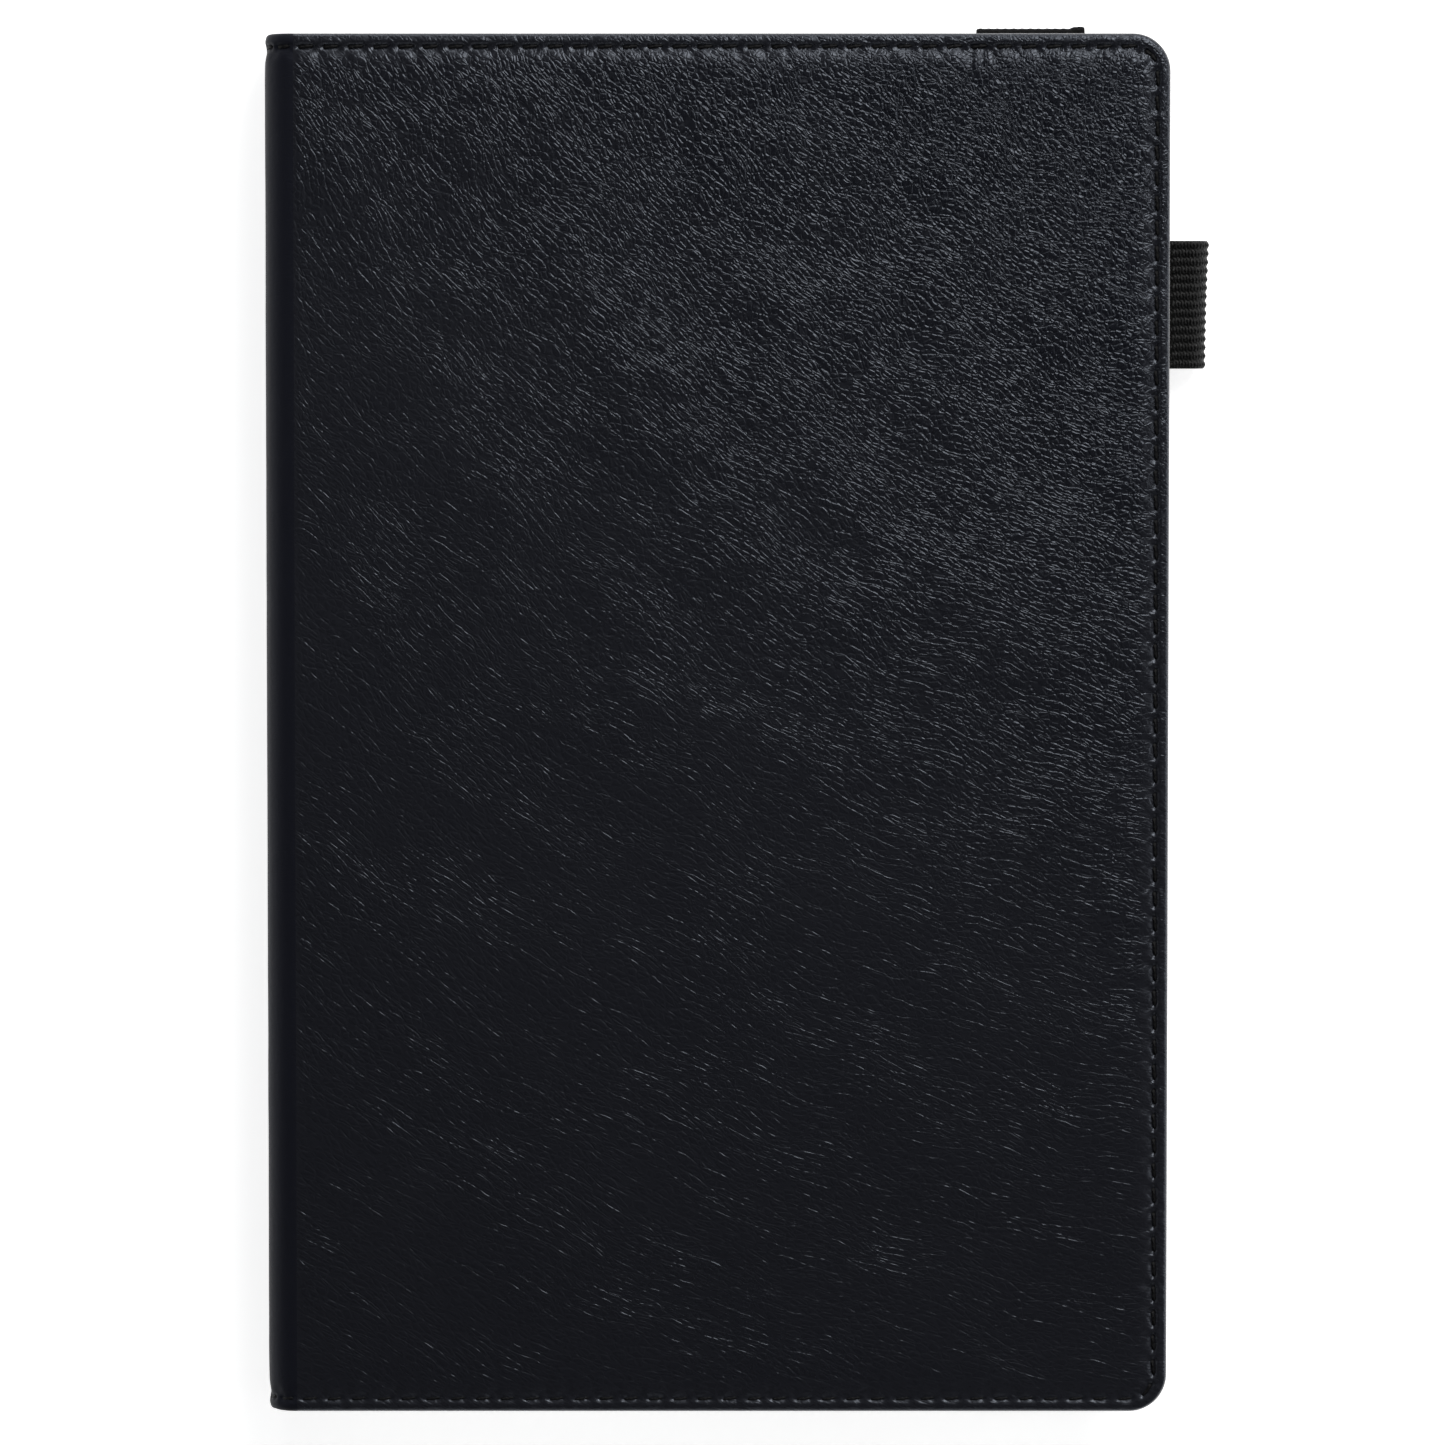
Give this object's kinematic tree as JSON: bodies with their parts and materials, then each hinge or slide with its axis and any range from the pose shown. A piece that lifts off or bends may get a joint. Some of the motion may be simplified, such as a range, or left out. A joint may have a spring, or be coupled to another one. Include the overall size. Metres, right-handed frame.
{
  "type": "leather notebook cover",
  "caption": "Padded leather notebook cover with rounded spine, stitched edge, inner sleeves and card pockets, elastic pen loop and closure band, holding a refill pad.",
  "frame": {"origin": "bottom centre of the closed cover's bounding box, on the resting plane", "axes": "+X from the spine to the fore edge, +Y towards the head, +Z out of the front panel"},
  "size_m": [0.1512, 0.2234, 0.02],
  "materials": {
    "leather": "embossed grain, satin",
    "thread": "twisted polyester",
    "foam": "matte",
    "board": "matte",
    "lining": "suede-like microfibre",
    "elastic": "ribbed elastic webbing",
    "paper": "matte",
    "card": "matte",
    "tape": "book cloth"
  },
  "bodies": {
    "back_cover": {"back_leather": "leather", "back_foam": "foam", "back_board": "board", "back_infill": "board", "back_lining": "lining", "back_sleeve": "lining", "back_stitching": "thread", "closure_band": "elastic", "pen_loop": "elastic", "refill_back_card": "card", "refill_page_block": "paper", "refill_binding_tape": "tape", "back_hinge_leather": "leather", "back_hinge_lining": "lining", "back_hinge_stitching": "thread"},
    "spine": {"spine_leather": "leather", "spine_board": "board", "spine_lining": "lining", "spine_stitching": "thread"},
    "front_cover": {"front_leather": "leather", "front_foam": "foam", "front_board": "board", "front_infill": "board", "front_lining": "lining", "front_sleeve": "lining", "card_pocket_upper": "leather", "card_pocket_middle": "leather", "card_pocket_lower": "leather", "pocket_stitching": "thread", "front_stitching": "thread", "front_hinge_leather": "leather", "front_hinge_lining": "lining", "front_hinge_stitching": "thread"}
  },
  "joints": [
    {"name": "spine_hinge", "type": "hinge", "parent": "back_cover", "child": "spine", "pos_m": [-0.0744, 0, 0.0012], "axis": [0, -1, 0], "range_deg": [0, 90], "deforming": ["back_hinge_leather", "back_hinge_lining", "back_hinge_stitching"]},
    {"name": "front_hinge", "type": "hinge", "parent": "spine", "child": "front_cover", "pos_m": [-0.0744, 0, 0.0188], "axis": [0, -1, 0], "range_deg": [0, 90], "deforming": ["front_hinge_leather", "front_hinge_lining", "front_hinge_stitching"]}
  ]
}
